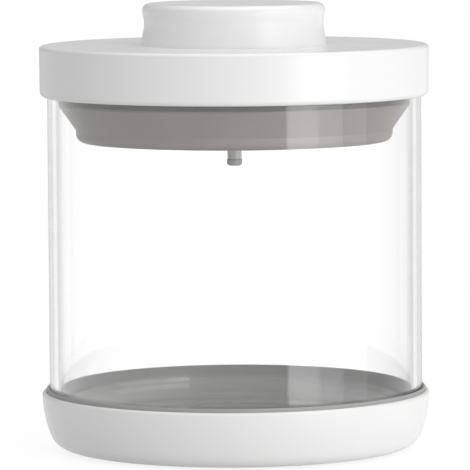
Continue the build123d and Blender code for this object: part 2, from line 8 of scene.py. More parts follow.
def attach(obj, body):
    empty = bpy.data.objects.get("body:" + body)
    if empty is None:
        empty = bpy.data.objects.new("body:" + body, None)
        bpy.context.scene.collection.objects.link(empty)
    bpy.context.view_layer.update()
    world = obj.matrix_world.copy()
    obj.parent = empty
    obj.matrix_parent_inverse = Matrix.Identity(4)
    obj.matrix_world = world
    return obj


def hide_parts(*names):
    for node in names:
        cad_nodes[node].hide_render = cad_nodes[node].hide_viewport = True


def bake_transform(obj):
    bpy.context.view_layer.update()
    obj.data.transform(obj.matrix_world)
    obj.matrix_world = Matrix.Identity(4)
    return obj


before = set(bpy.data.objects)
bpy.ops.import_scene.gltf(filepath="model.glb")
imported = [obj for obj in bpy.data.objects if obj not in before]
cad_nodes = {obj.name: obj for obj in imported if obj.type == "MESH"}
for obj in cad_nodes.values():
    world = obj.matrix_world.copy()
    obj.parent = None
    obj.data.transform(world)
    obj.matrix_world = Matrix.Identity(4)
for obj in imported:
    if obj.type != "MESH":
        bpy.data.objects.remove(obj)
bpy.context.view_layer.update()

# Foot ring
# A ring of soft grey rubber that the canister stands on. It is moulded in one shot, with
# rounded lower corners, and is pressed into a groove under the base cup.


def placed(tree, kind, inputs, **settings):
    """A node with its settings, and its inputs given as values or as sockets to link."""
    node = tree.nodes.new(kind)
    for name, value in settings.items():
        setattr(node, name, value)
    for key, value in inputs.items():
        if isinstance(value, bpy.types.NodeSocket):
            tree.links.new(value, node.inputs[key])
        else:
            node.inputs[key].default_value = value
    return node


def worked_out(tree, operation, *values, **settings):
    """The result of a sum on values and sockets."""
    sum_node = placed(
        tree, "ShaderNodeMath", dict(enumerate(values)), operation=operation, **settings
    )
    return sum_node.outputs[0]


def eased(tree, value, low, high, to_low=0.0, to_high=1.0, **settings):
    """A value carried over from one range to another, and held at its ends."""
    ends = {"From Min": low, "From Max": high, "To Min": to_low, "To Max": to_high}
    moved = placed(tree, "ShaderNodeMapRange", {"Value": value, **ends}, **settings)
    return moved.outputs["Result"]


def between(tree, share, first, second):
    """A number between two others, by a share from 0 to 1."""
    numbers = {0: share, 2: first, 3: second}
    return placed(tree, "ShaderNodeMix", numbers, data_type="FLOAT").outputs[0]


def mixed(tree, share, first, second):
    """A colour between two others, by a share from 0 to 1."""
    colours = {0: share, 6: first, 7: second}
    return placed(tree, "ShaderNodeMix", colours, data_type="RGBA").outputs[2]


def toned(tree, colour, level):
    """A colour made lighter or darker."""
    scaled = placed(tree, "ShaderNodeVectorMath", {0: colour, "Scale": level}, operation="SCALE")
    return scaled.outputs["Vector"]


def own_place(tree):
    return placed(tree, "ShaderNodeTexCoord", {}).outputs["Object"]


def noise(tree, place, scale, detail, **more):
    values = {"Vector": place, "Scale": scale, "Detail": detail, **more}
    return placed(tree, "ShaderNodeTexNoise", values).outputs["Fac"]


def new_tree(kind, name, takes, gives):
    """A node group with its inputs and outputs made, and the sockets that carry its inputs."""
    tree = bpy.data.node_groups.new(name, kind)
    for label, socket_kind, *start in takes:
        socket = tree.interface.new_socket(
            label, in_out="INPUT", socket_type="NodeSocket" + socket_kind
        )
        if start:
            socket.default_value = start[0]
    for label, socket_kind in gives:
        tree.interface.new_socket(label, in_out="OUTPUT", socket_type="NodeSocket" + socket_kind)
    return tree, tree.nodes.new("NodeGroupInput").outputs


def handed_out(tree, **results):
    """The end of a node group, with its results linked."""
    out = tree.nodes.new("NodeGroupOutput")
    for name, socket in results.items():
        tree.links.new(socket, out.inputs[name])
    return tree


skin_results = [("Colour", "Color"), ("Roughness", "Float"), ("Height", "Float")]


def rubber_grain_effect():
    """Matt rubber: uneven tone, a fine grain from the mould, and specks of dust."""
    takes = [
        ("Colour", "Color", (0.3, 0.3, 0.3, 1)),
        ("Dust colour", "Color", (0.6, 0.6, 0.58, 1)),
        ("Dust", "Float", 0.3),
        ("Mottle", "Float", 0.1),
        ("Grain per metre", "Float", 1600.0),
        ("Roughness", "Float", 0.7),
    ]
    tree, given = new_tree("ShaderNodeTree", "Rubber grain", takes, skin_results)
    place = own_place(tree)
    broad = noise(tree, place, 38.0, 3.0)
    fine = noise(tree, place, given["Grain per metre"], 3.0)
    specks = noise(tree, place, 1100.0, 1.0)
    off_level = worked_out(tree, "SUBTRACT", broad, 0.5)
    level = worked_out(tree, "MULTIPLY_ADD", off_level, given["Mottle"], 1.0)
    dusty = worked_out(tree, "MULTIPLY", eased(tree, specks, 0.66, 0.74), given["Dust"])
    colour = mixed(tree, dusty, toned(tree, given["Colour"], level), given["Dust colour"])
    spread = eased(tree, fine, 0.2, 0.8, -0.06, 0.06)
    rough = worked_out(tree, "ADD", spread, given["Roughness"])
    return handed_out(tree, Colour=colour, Roughness=rough, Height=fine)


rubber_grain = rubber_grain_effect()


def new_finish(name):
    """A material with an untouched Principled shader."""
    finish = bpy.data.materials.new(name)
    finish.use_nodes = True
    return finish, finish.node_tree, finish.node_tree.nodes["Principled BSDF"]


def grouped(tree, effect, **values):
    """An effect placed in a material. An underscore in a name stands for a space."""
    inputs = {name.replace("_", " "): value for name, value in values.items()}
    return placed(tree, "ShaderNodeGroup", inputs, node_tree=effect)


def pressed_in(tree, shader, height, distance):
    """Relief on a shader, as a bump of that many metres."""
    values = {"Height": height, "Distance": distance, "Strength": 1.0}
    relief = placed(tree, "ShaderNodeBump", values)
    tree.links.new(relief.outputs["Normal"], shader.inputs["Normal"])


def rubber_finish(name, colour, roughness, dust, grain=1600.0, relief=0.00004):
    finish, tree, shader = new_finish(name)
    skin = grouped(
        tree,
        rubber_grain,
        Colour=(*colour, 1),
        Dust=dust,
        Mottle=0.16,
        Grain_per_metre=grain,
        Roughness=roughness,
    )
    tree.links.new(skin.outputs["Colour"], shader.inputs["Base Color"])
    tree.links.new(skin.outputs["Roughness"], shader.inputs["Roughness"])
    pressed_in(tree, shader, skin.outputs["Height"], relief)
    shader.inputs["Specular IOR Level"].default_value = 0.35
    return finish


def made_real(tree, geometry, finish):
    """The end of a piece's tree: real geometry in its finish."""
    real = placed(tree, "GeometryNodeRealizeInstances", {"Geometry": geometry})
    values = {"Geometry": real.outputs["Geometry"], "Material": finish}
    painted = placed(tree, "GeometryNodeSetMaterial", values)
    return handed_out(tree, Piece=painted.outputs["Geometry"])


def turned_piece_tree():
    """Turns a half section about the axis, after rounding its corners, and paints it."""
    takes = [
        ("Outline", "Geometry"),
        ("Steps round", "Int"),
        ("Corner steps", "Int"),
        ("Sharp angle", "Float"),
        ("Finish", "Material"),
    ]
    tree, given = new_tree("GeometryNodeTree", "Turned piece", takes, [("Piece", "Geometry")])
    section = placed(tree, "GeometryNodeMeshToCurve", {"Mesh": given["Outline"]})
    rounding = placed(tree, "GeometryNodeInputNamedAttribute", {"Name": "rounding"})
    corners = placed(
        tree,
        "GeometryNodeFilletCurve",
        {
            "Curve": section.outputs["Curve"],
            "Radius": rounding.outputs["Attribute"],
            "Count": given["Corner steps"],
        },
        mode="POLY",
    )
    set_in = placed(
        tree,
        "GeometryNodeTransform",
        {"Geometry": corners.outputs["Curve"], "Translation": (-1, 0, 0), "Scale": (1, -1, 1)},
    )
    path = placed(
        tree,
        "GeometryNodeCurvePrimitiveCircle",
        {"Radius": 1.0, "Resolution": given["Steps round"]},
    )
    swept = placed(
        tree,
        "GeometryNodeCurveToMesh",
        {"Curve": path.outputs["Curve"], "Profile Curve": set_in.outputs["Geometry"]},
    )
    closed = placed(
        tree,
        "GeometryNodeMergeByDistance",
        {"Geometry": swept.outputs["Mesh"], "Distance": 2e-6},
    )
    smooth = placed(
        tree,
        "GeometryNodeSetShadeSmooth",
        {"Geometry": closed.outputs["Geometry"]},
        domain="FACE",
    )
    angle = placed(tree, "GeometryNodeInputMeshEdgeAngle", {})
    sharp = placed(
        tree,
        "FunctionNodeCompare",
        {0: angle.outputs["Unsigned Angle"], 1: given["Sharp angle"]},
        data_type="FLOAT",
        operation="GREATER_THAN",
    )
    edged = placed(
        tree,
        "GeometryNodeSetShadeSmooth",
        {
            "Geometry": smooth.outputs["Geometry"],
            "Selection": sharp.outputs["Result"],
            "Shade Smooth": False,
        },
        domain="EDGE",
    )
    return made_real(tree, edged.outputs["Geometry"], given["Finish"])


turned_piece = turned_piece_tree()


def new_object(name, data):
    """An object in the scene, at the origin."""
    made = bpy.data.objects.new(name, data)
    bpy.context.scene.collection.objects.link(made)
    return made


def settled(piece):
    """Leaves what its modifiers made as the piece's plain mesh."""
    state = bpy.context.evaluated_depsgraph_get()
    mesh = bpy.data.meshes.new_from_object(piece.evaluated_get(state))
    piece.modifiers.clear()
    piece.data = mesh


def grown(piece, tree, values):
    """Runs a Geometry Nodes tree on a piece, and turns the result's faces outwards."""
    modifier = piece.modifiers.new(tree.name, "NODES")
    modifier.node_group = tree
    for socket in tree.interface.items_tree:
        if socket.in_out == "INPUT" and socket.name in values:
            modifier[socket.identifier] = values[socket.name]
    settled(piece)
    skin = bmesh.new()
    skin.from_mesh(piece.data)
    if skin.calc_volume(signed=True) < 0:
        bmesh.ops.reverse_faces(skin, faces=skin.faces)
        skin.to_mesh(piece.data)
    skin.free()


def even_shading(piece):
    """Keeps the flats flat beside their rounded corners."""
    weighted = piece.modifiers.new("Even shading", "WEIGHTED_NORMAL")
    weighted.weight = 50
    weighted.keep_sharp = True


sharp_angle = radians(32)


def turned(name, corners, finish, steps_round=224, corner_steps=8, shaded=True):
    """A piece turned about the axis. A corner is its radius, height and, if any, rounding in mm."""
    outline = bpy.data.meshes.new(name)
    links = [(i, i + 1) for i in range(len(corners) - 1)]
    if corners[0][0] > 0 or corners[-1][0] > 0:
        links.append((len(corners) - 1, 0))
    outline.from_pydata([(corner[0] / 1000, corner[1] / 1000, 0) for corner in corners], links, [])
    rounding = outline.attributes.new("rounding", "FLOAT", "POINT")
    for point, corner in zip(rounding.data, corners):
        point.value = corner[2] / 1000 if len(corner) > 2 else 0
    piece = new_object(name, outline)
    values = {
        "Steps round": steps_round,
        "Corner steps": corner_steps,
        "Sharp angle": sharp_angle,
        "Finish": finish,
    }
    grown(piece, turned_piece, values)
    if "rounding" in piece.data.attributes:
        piece.data.attributes.remove(piece.data.attributes["rounding"])
    if shaded:
        even_shading(piece)
    return piece


foot_inside, foot_outside, foot_top = 49.5, 54.5, 1.55
foot_rubber = rubber_finish("Foot rubber", (0.27, 0.27, 0.265), 0.72, dust=0.35)
foot_ring = turned(
    "rubber_foot",
    [
        (foot_inside, 0, 0.5),
        (foot_outside, 0, 0.5),
        (foot_outside, foot_top),
        (foot_inside, foot_top),
    ],
    foot_rubber,
)
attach(foot_ring, "base")
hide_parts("foot_ring")

# Base cup
# A white glossy cup, injection moulded in ABS with a curved side. Its underside is recessed
# inside the foot ring, and a draft and small round edges let it leave the mould.


def cup_side(inset, low, corner, high):
    """The cup's curved side from the axis out and up, set in by the inset, as plain points."""
    centre_radius, centre_height = 28.9, 22.2
    corner_steps, side_steps = 8, 14
    side = 46.0 - inset
    corner_height = low + corner
    reach = sqrt((side - corner) ** 2 - (centre_height - corner_height) ** 2)
    corner_radius = centre_radius + reach
    meet = atan2(corner_height - centre_height, reach)
    points = []
    for step in range(corner_steps + 1):
        turn = -pi / 2 + (meet + pi / 2) * step / corner_steps
        points.append((corner_radius + corner * cos(turn), corner_height + corner * sin(turn)))
    for step in range(1, side_steps + 1):
        turn = meet * (1 - step / side_steps)
        points.append((centre_radius + side * cos(turn), centre_height + side * sin(turn)))
    if high > centre_height:
        points.append((centre_radius + side, high))
    return points


def moulded_skin_effect():
    """Moulded plastic: faint flow tone, soft orange peel and a little spread of gloss."""
    takes = [
        ("Colour", "Color", (0.8, 0.8, 0.8, 1)),
        ("Mottle", "Float", 0.02),
        ("Peel per metre", "Float", 260.0),
        ("Grain per metre", "Float", 2600.0),
        ("Grain share", "Float", 0.3),
        ("Roughness", "Float", 0.3),
        ("Gloss spread", "Float", 0.06),
    ]
    tree, given = new_tree("ShaderNodeTree", "Moulded skin", takes, skin_results)
    place = own_place(tree)
    drawn_up = placed(tree, "ShaderNodeMapping", {"Vector": place, "Scale": (1, 1, 0.45)})
    flow = noise(tree, drawn_up.outputs["Vector"], 24.0, 4.0, Distortion=0.6)
    peel = noise(tree, place, given["Peel per metre"], 1.0)
    grain = noise(tree, place, given["Grain per metre"], 2.0)
    off_level = worked_out(tree, "SUBTRACT", flow, 0.5)
    level = worked_out(tree, "MULTIPLY_ADD", off_level, given["Mottle"], 1.0)
    rough = worked_out(
        tree, "MULTIPLY_ADD", off_level, given["Gloss spread"], given["Roughness"]
    )
    return handed_out(
        tree,
        Colour=toned(tree, given["Colour"], level),
        Roughness=rough,
        Height=between(tree, given["Grain share"], peel, grain),
    )


moulded_skin = moulded_skin_effect()


def handling_marks_effect():
    """Traces of use: soft smudges and a few hairline rubs, as one mask."""
    takes = [
        ("Smudges", "Float", 0.5),
        ("Hairlines", "Float", 0.4),
        ("Smudges per metre", "Float", 22.0),
    ]
    tree, given = new_tree("ShaderNodeTree", "Handling marks", takes, [("Mask", "Float")])
    place = own_place(tree)
    patches = noise(tree, place, given["Smudges per metre"], 5.0, Distortion=1.2)
    smudge = eased(tree, patches, 0.5, 0.78, interpolation_type="SMOOTHSTEP")
    slanted = placed(
        tree,
        "ShaderNodeMapping",
        {"Vector": place, "Rotation": (0.35, 0.5, 0.9), "Scale": (30, 900, 900)},
    )
    hairline = eased(tree, noise(tree, slanted.outputs["Vector"], 1.0, 1.0), 0.7, 0.78)
    soft = worked_out(tree, "MULTIPLY", smudge, given["Smudges"])
    both = worked_out(
        tree, "MULTIPLY_ADD", hairline, given["Hairlines"], soft, use_clamp=True
    )
    return handed_out(tree, Mask=both)


handling_marks = handling_marks_effect()


def plastic_finish(
    name, colour, roughness, mottle, marks, grain_share=0.25, relief=0.00003, coat=0.0
):
    """Injection moulded plastic, with marks that dull it where it has been handled."""
    finish, tree, shader = new_finish(name)
    skin = grouped(
        tree,
        moulded_skin,
        Colour=(*colour, 1),
        Mottle=mottle,
        Grain_share=grain_share,
        Roughness=roughness,
        Gloss_spread=0.08,
    )
    touched = grouped(tree, handling_marks, Smudges=0.8, Hairlines=0.06)
    dulled = worked_out(
        tree, "MULTIPLY_ADD", touched.outputs["Mask"], marks, skin.outputs["Roughness"]
    )
    tree.links.new(skin.outputs["Colour"], shader.inputs["Base Color"])
    tree.links.new(dulled, shader.inputs["Roughness"])
    pressed_in(tree, shader, skin.outputs["Height"], relief)
    shader.inputs["IOR"].default_value = 1.5
    shader.inputs["Coat Weight"].default_value = coat
    shader.inputs["Coat Roughness"].default_value = 0.12
    return finish


white_plastic = plastic_finish(
    "White plastic", (0.866, 0.867, 0.863), 0.24, mottle=0.012, marks=0.03
)
cup_low, cup_floor, cup_rim = 0.5, 4.4, 22.2
recess_radius, recess_top = 47, 2.0
groove_inside, groove_outside, groove_top = 49.45, 54.55, 1.6
cup_outside = cup_side(0, cup_low, 8.0, cup_rim)
cup_inside = cup_side(1.6, cup_floor, 6.4, cup_rim)
cup_outside[-1] = (*cup_outside[-1], 1.2)
cup_inside[-1] = (*cup_inside[-1], 0.35)
base_cup = turned(
    "white_cup",
    [
        (0, recess_top),
        (recess_radius, recess_top, 0.4),
        (recess_radius, cup_low, 0.3),
        (groove_inside, cup_low),
        (groove_inside, groove_top),
        (groove_outside, groove_top),
        (groove_outside, cup_low),
        *cup_outside,
        *cup_inside[::-1],
        (0, cup_floor),
    ],
    white_plastic,
)
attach(base_cup, "base")
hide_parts("base_shell")

# Liner of the base cup
# A dark grey soft rubber liner inside the cup. The jar sinks into it, and its rounded lip
# stands just above the cup's rim and grips the glass.
liner_rubber = rubber_finish(
    "Liner rubber", (0.385, 0.382, 0.378), 0.6, dust=0.2, grain=1400.0, relief=0.00003
)
liner_low, liner_floor, liner_lip, liner_inside = 4.45, 6.4, 23.6, 72.3
liner_outside = cup_side(1.65, liner_low, 6.35, liner_lip)
liner_outside[-1] = (*liner_outside[-1], 0.35)
soft_liner = turned(
    "soft_liner",
    [
        (0, liner_low),
        *liner_outside,
        (liner_inside, liner_lip, 0.35),
        (liner_inside, liner_floor, 12.3),
        (0, liner_floor),
    ],
    liner_rubber,
    corner_steps=14,
)
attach(soft_liner, "base")
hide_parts("base_liner")

# Jar
# A straight jar of clear pressed glass with a thick floor, a shallow punt under it and a
# fire-polished rim. It lifts out of the base cup to be washed.


def glass_finish(name):
    """Clear glass. Lamps and the light from pieces inside pass straight through it."""
    finish, tree, shader = new_finish(name)
    shader.inputs["Transmission Weight"].default_value = 1.0
    shader.inputs["IOR"].default_value = 1.47
    drawn_up = placed(tree, "ShaderNodeMapping", {"Vector": own_place(tree), "Scale": (1, 1, 0.2)})
    waves = noise(tree, drawn_up.outputs["Vector"], 26.0, 1.0)
    tint = mixed(tree, waves, (0.993, 0.997, 0.995, 1), (0.998, 0.999, 0.998, 1))
    touched = grouped(tree, handling_marks, Smudges=0.7, Hairlines=0.3, Smudges_per_metre=30.0)
    dulled = worked_out(tree, "MULTIPLY", touched.outputs["Mask"], 0.012)
    tree.links.new(tint, shader.inputs["Base Color"])
    tree.links.new(dulled, shader.inputs["Roughness"])
    pressed_in(tree, shader, waves, 0.00002)
    ray = placed(tree, "ShaderNodeLightPath", {}).outputs
    passing = worked_out(tree, "MAXIMUM", ray["Is Shadow Ray"], ray["Is Diffuse Ray"])
    clear = placed(tree, "ShaderNodeBsdfTransparent", {"Color": (0.96, 0.965, 0.962, 1)})
    seen = placed(
        tree,
        "ShaderNodeMixShader",
        {0: passing, 1: shader.outputs["BSDF"], 2: clear.outputs["BSDF"]},
    )
    tree.links.new(seen.outputs["Shader"], tree.nodes["Material Output"].inputs["Surface"])
    return finish


clear_glass = glass_finish("Clear glass")
jar_outside, jar_inside = 72, 68
jar_low, jar_floor, jar_rim = 6.45, 11.95, 145.95
punt_radius, punt_top = 46, 7.05
glass_jar = turned(
    "glass_jar",
    [
        (0, punt_top),
        (punt_radius, punt_top, 0.5),
        (punt_radius, jar_low, 0.2),
        (jar_outside, jar_low, 12),
        (jar_outside, jar_rim, 1.5),
        (jar_inside, jar_rim, 1.5),
        (jar_inside, jar_floor, 8),
        (0, jar_floor),
    ],
    clear_glass,
    steps_round=256,
    corner_steps=16,
)
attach(glass_jar, "jar")
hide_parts("jar")

# Pump housing
# The grey satin dish that hangs in the jar's mouth, moulded in one piece: a flange that rests
# on the glass, a neck, a cone, a round hem, and inside it the pump's bore, posts and ports.


def round_the_axis_tree():
    """Repeats one piece evenly about the axis."""
    takes = [
        ("One piece", "Geometry"),
        ("Count", "Int"),
        ("First angle", "Float"),
        ("Finish", "Material"),
    ]
    tree, given = new_tree("GeometryNodeTree", "Round the axis", takes, [("Piece", "Geometry")])
    points = placed(
        tree, "GeometryNodeMeshLine", {"Count": given["Count"], "Offset": (0, 0, 0)}
    )
    number = placed(tree, "GeometryNodeInputIndex", {}).outputs["Index"]
    step = worked_out(tree, "DIVIDE", 2 * pi, given["Count"])
    turn = worked_out(tree, "MULTIPLY_ADD", number, step, given["First angle"])
    spin = placed(tree, "ShaderNodeCombineXYZ", {"Z": turn})
    rotation = placed(tree, "FunctionNodeEulerToRotation", {"Euler": spin.outputs["Vector"]})
    pieces = placed(
        tree,
        "GeometryNodeInstanceOnPoints",
        {
            "Points": points.outputs["Mesh"],
            "Instance": given["One piece"],
            "Rotation": rotation.outputs["Rotation"],
        },
    )
    return made_real(tree, pieces.outputs["Instances"], given["Finish"])


round_the_axis = round_the_axis_tree()


def all_round(one, count, first_degrees, finish):
    """Repeats the first of a set of pieces evenly about the axis."""
    values = {"Count": count, "First angle": radians(first_degrees), "Finish": finish}
    grown(one, round_the_axis, values)


def from_shape(name, shape):
    """A piece with the mesh that was built."""
    mesh = bpy.data.meshes.new(name)
    shape.to_mesh(mesh)
    shape.free()
    return new_object(name, mesh)


def peg(name, radius, circle, low, high, sides=24):
    """An upright round peg on the X side of the axis, in mm."""
    shape = bmesh.new()
    bmesh.ops.create_cone(
        shape,
        cap_ends=True,
        segments=sides,
        radius1=radius / 1000,
        radius2=radius / 1000,
        depth=(high - low) / 1000,
        matrix=Matrix.Translation((circle / 1000, 0, (low + high) / 2000)),
    )
    return from_shape(name, shape)


def rib(name, inner, outer, thickness, low, high):
    """A straight rib that runs outwards on the X side of the axis, in mm."""
    shape = bmesh.new()
    size = Matrix.Diagonal(((outer - inner) / 1000, thickness / 1000, (high - low) / 1000, 1))
    middle = Matrix.Translation(((inner + outer) / 2000, 0, (low + high) / 2000))
    bmesh.ops.create_cube(shape, size=1, matrix=middle @ size)
    return from_shape(name, shape)


def worked(piece, *steps):
    """Adds or cuts tool shapes, one after the other, and sets the edges crisp again."""
    for operation, tool in steps:
        cut = piece.modifiers.new(operation, "BOOLEAN")
        cut.operation = operation
        cut.solver = "EXACT"
        cut.object = tool
        settled(piece)
        bpy.data.objects.remove(tool)
    piece.data.shade_smooth()
    piece.data.set_sharp_from_angle(angle=sharp_angle)
    even_shading(piece)


taupe_plastic = plastic_finish(
    "Taupe plastic",
    (0.3, 0.271, 0.25),
    0.5,
    mottle=0.03,
    marks=0.06,
    grain_share=0.6,
    relief=0.00004,
)
hem_radius, neck_radius, flange_radius = 61, 67.6, 71.4
neck_inside, cone_inside, bore_outside, bore_radius = 64.2, 58.8, 52, 50
dish_low, dish_floor, cone_low, bore_top = 118.8532, 121.4532, 123.4532, 139.1532
neck_low, flange_low, flange_top = 133.15, 146.05, 148.55
ring_groove_radius, ring_groove_low, ring_groove_high = 65.9, 133.95, 136.05
pump_dish = turned(
    "grey_housing",
    [
        (0, dish_low),
        (hem_radius, dish_low, 3.2),
        (hem_radius, cone_low, 0.8),
        (neck_radius, neck_low, 0.5),
        (neck_radius, ring_groove_low, 0.15),
        (ring_groove_radius, ring_groove_low),
        (ring_groove_radius, ring_groove_high),
        (neck_radius, ring_groove_high, 0.15),
        (neck_radius, flange_low, 0.3),
        (flange_radius, flange_low, 0.3),
        (flange_radius, flange_top, 0.4),
        (neck_inside, flange_top, 0.4),
        (neck_inside, neck_low),
        (cone_inside, cone_low),
        (cone_inside, dish_floor),
        (bore_outside, dish_floor),
        (bore_outside, bore_top),
        (bore_radius, bore_top),
        (bore_radius, dish_floor),
        (0, dish_floor),
    ],
    taupe_plastic,
    corner_steps=10,
    shaded=False,
)
post_radius, pilot_radius, port_radius, rib_thickness = 3.2, 1.47, 1.5, 1.6
post_circle, post_foot = 56.2, 121.0
posts = peg("posts", post_radius, post_circle, post_foot, bore_top)
ribs = rib("ribs", 51.5, post_circle, rib_thickness, post_foot, 139.1)
pilots = peg("pilots", pilot_radius, post_circle, 132.1532, 140.0)
ports = peg("ports", port_radius, 9.5, 119.0, 122.0)
for one in (posts, ribs, pilots, ports):
    all_round(one, 6, 0, taupe_plastic)
stem_hole = peg("stem_hole", 2.77, 0, 118.0, 122.0, sides=48)
filter_pocket = turned(
    "filter_pocket",
    [(5.15, 118.0), (14.85, 118.0), (14.85, 119.7532), (5.15, 119.7532)],
    taupe_plastic,
    steps_round=96,
    shaded=False,
)
worked(
    pump_dish,
    ("UNION", posts),
    ("UNION", ribs),
    ("DIFFERENCE", pilots),
    ("DIFFERENCE", filter_pocket),
    ("DIFFERENCE", ports),
    ("DIFFERENCE", stem_hole),
)
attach(pump_dish, "lid")
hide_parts("pump_housing")

# Jar seal
# A dark silicone ring with two soft lips, stretched into the groove round the housing's neck.
# The lips bend against the glass and keep the air out.
seal_rubber = rubber_finish(
    "Seal rubber", (0.16, 0.155, 0.15), 0.5, dust=0.12, grain=2200.0, relief=0.00002
)
seal_inside, seal_neck, seal_lips, seal_low = 65.95, 67.6, 67.7, 134.0
neck_seal = turned(
    "neck_seal",
    [
        (seal_inside, seal_low),
        (seal_neck, seal_low),
        (seal_lips, seal_low + 0.5, 0.2),
        (seal_neck, seal_low + 1.0),
        (seal_lips, seal_low + 1.5, 0.2),
        (seal_neck, seal_low + 2.0),
        (seal_inside, seal_low + 2.0),
    ],
    seal_rubber,
    corner_steps=4,
)
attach(neck_seal, "lid")
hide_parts("jar_seal")

# Filter disc
# A washer of pressed white fibre in a pocket under the pump's floor. It keeps crumbs out of
# the intake ports, and its fibres lie every way in the plane of the disc.


def felt_finish(name, colour):
    finish, tree, shader = new_finish(name)
    place = own_place(tree)
    fibres = 0.0
    for turn, seed in ((0.3, 0.0), (1.4, 4.0), (2.5, 9.0)):
        laid = placed(
            tree,
            "ShaderNodeMapping",
            {
                "Vector": place,
                "Location": (seed, seed, 0),
                "Rotation": (0, 0, turn),
                "Scale": (420, 5200, 5200),
            },
        )
        layer = noise(tree, laid.outputs["Vector"], 1.0, 2.0)
        fibres = worked_out(tree, "MAXIMUM", fibres, layer)
    dark = [0.72 * part for part in colour]
    tone = mixed(tree, eased(tree, fibres, 0.45, 0.75), (*dark, 1), (*colour, 1))
    tree.links.new(tone, shader.inputs["Base Color"])
    pressed_in(tree, shader, fibres, 0.00015)
    shader.inputs["Roughness"].default_value = 0.95
    shader.inputs["Sheen Weight"].default_value = 0.3
    return finish


def dressed(finish, *names):
    """CAD nodes that stay as they are and take this finish."""
    for name in names:
        for held in cad_nodes[name].material_slots:
            held.material = finish


filter_felt = felt_finish("Filter felt", (0.7, 0.7, 0.68))
dressed(filter_felt, "filter_disc")

# Intake and exhaust flaps
# Two thin discs cut from translucent silicone sheet. One lies over the intake ports in the
# housing and one over the piston's exhaust ports, and each lifts to let air pass one way.
flap_rubber = rubber_finish(
    "Flap silicone", (0.6, 0.6, 0.6), 0.45, dust=0.1, grain=900.0, relief=0.00001
)
dressed(flap_rubber, "intake_flap", "exhaust_flap")

# Vent tube
# A thin grey tube that is bonded into the pump's floor. Its flange holds the intake flap
# down, and its lower end is the little nozzle that shows in the jar.
tube_plastic = plastic_finish(
    "Tube plastic",
    (0.47, 0.46, 0.45),
    0.22,
    mottle=0.02,
    marks=0.05,
    grain_share=0.1,
    relief=0.00002,
    coat=0.4,
)
tube_inside, tube_outside, tube_flange = 1.95, 2.75, 6.5
nozzle_low, tube_flange_low, tube_top = 111.6532, 122.1532, 142.95
nozzle_tube = turned(
    "nozzle_tube",
    [
        (tube_inside, nozzle_low),
        (tube_outside, nozzle_low, 0.15),
        (tube_outside, tube_flange_low),
        (tube_flange, tube_flange_low, 0.2),
        (tube_flange, tube_flange_low + 1, 0.2),
        (tube_outside, tube_flange_low + 1),
        (tube_outside, tube_top, 0.2),
        (tube_inside, tube_top, 0.2),
    ],
    tube_plastic,
    steps_round=96,
    corner_steps=4,
)
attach(nozzle_tube, "lid")
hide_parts("vent_tube")

# Piston, rod and clamp
# Unpigmented moulded plastic, a little creamy: the piston disc with its ribs, the hollow rod
# whose spigot passes through its hub, and the ring that clamps the exhaust flap.
inner_plastic = plastic_finish(
    "Inner plastic", (0.72, 0.715, 0.69), 0.45, mottle=0.05, marks=0.05, grain_share=0.5
)
dressed(inner_plastic, "piston", "piston_rod", "flap_clamp")

# Piston seal and rod seal
# Black rubber rings. One runs in the bore round the piston, and the small one inside the rod
# slides on the vent tube.
dressed(seal_rubber, "piston_seal", "tube_seal")

# Spring clip, drive pins and stem
# Steel parts of the drive. The clip is stamped from spring steel and holds the rod in the
# piston. The pins are ground, and the long stem is drawn wire.


def steel_effect():
    """Bright steel with lines along the way that it was drawn, ground or stamped."""
    takes = [
        ("Colour", "Color", (0.6, 0.6, 0.61, 1)),
        ("Lines per metre", "Vector", (4000.0, 4000.0, 60.0)),
        ("Roughness", "Float", 0.3),
        ("Tarnish", "Float", 0.15),
    ]
    tree, given = new_tree("ShaderNodeTree", "Steel lines", takes, skin_results)
    place = own_place(tree)
    stretched = placed(
        tree, "ShaderNodeVectorMath", {0: place, 1: given["Lines per metre"]}, operation="MULTIPLY"
    )
    lines = noise(tree, stretched.outputs["Vector"], 1.0, 2.0)
    stains = noise(tree, place, 160.0, 4.0)
    shade = worked_out(tree, "MULTIPLY", stains, given["Tarnish"])
    level = worked_out(tree, "SUBTRACT", 1.05, shade)
    return handed_out(
        tree,
        Colour=toned(tree, given["Colour"], level),
        Roughness=worked_out(tree, "MULTIPLY_ADD", lines, 0.25, given["Roughness"]),
        Height=lines,
    )


steel_lines = steel_effect()


def steel_finish(name, colour, lines_per_metre, roughness, tarnish):
    finish, tree, shader = new_finish(name)
    skin = grouped(
        tree,
        steel_lines,
        Colour=(*colour, 1),
        Lines_per_metre=lines_per_metre,
        Roughness=roughness,
        Tarnish=tarnish,
    )
    shader.inputs["Metallic"].default_value = 1.0
    tree.links.new(skin.outputs["Colour"], shader.inputs["Base Color"])
    tree.links.new(skin.outputs["Roughness"], shader.inputs["Roughness"])
    pressed_in(tree, shader, skin.outputs["Height"], 0.00001)
    return finish


spring_steel = steel_finish("Spring steel", (0.5, 0.5, 0.51), (700, 700, 700), 0.25, 0.25)
pin_steel = steel_finish("Ground pin steel", (0.62, 0.62, 0.63), (90, 5000, 5000), 0.18, 0.12)
stem_steel = steel_finish("Drawn stem steel", (0.6, 0.6, 0.61), (5000, 5000, 60), 0.2, 0.15)
dressed(spring_steel, "rod_clip")
dressed(pin_steel, "drive_pins")
dressed(stem_steel, "release_stem")

# Chamber cover and its screws
# The cover closes the pump's bore, with a slotted guide tube for the rod and four posts for
# the lid. Six zinc-plated screws hold it down on the housing.
dressed(inner_plastic, "chamber_cover")
zinc_plate = steel_finish("Zinc plate", (0.55, 0.56, 0.58), (1500, 1500, 1500), 0.3, 0.3)
dressed(zinc_plate, "cover_screws")

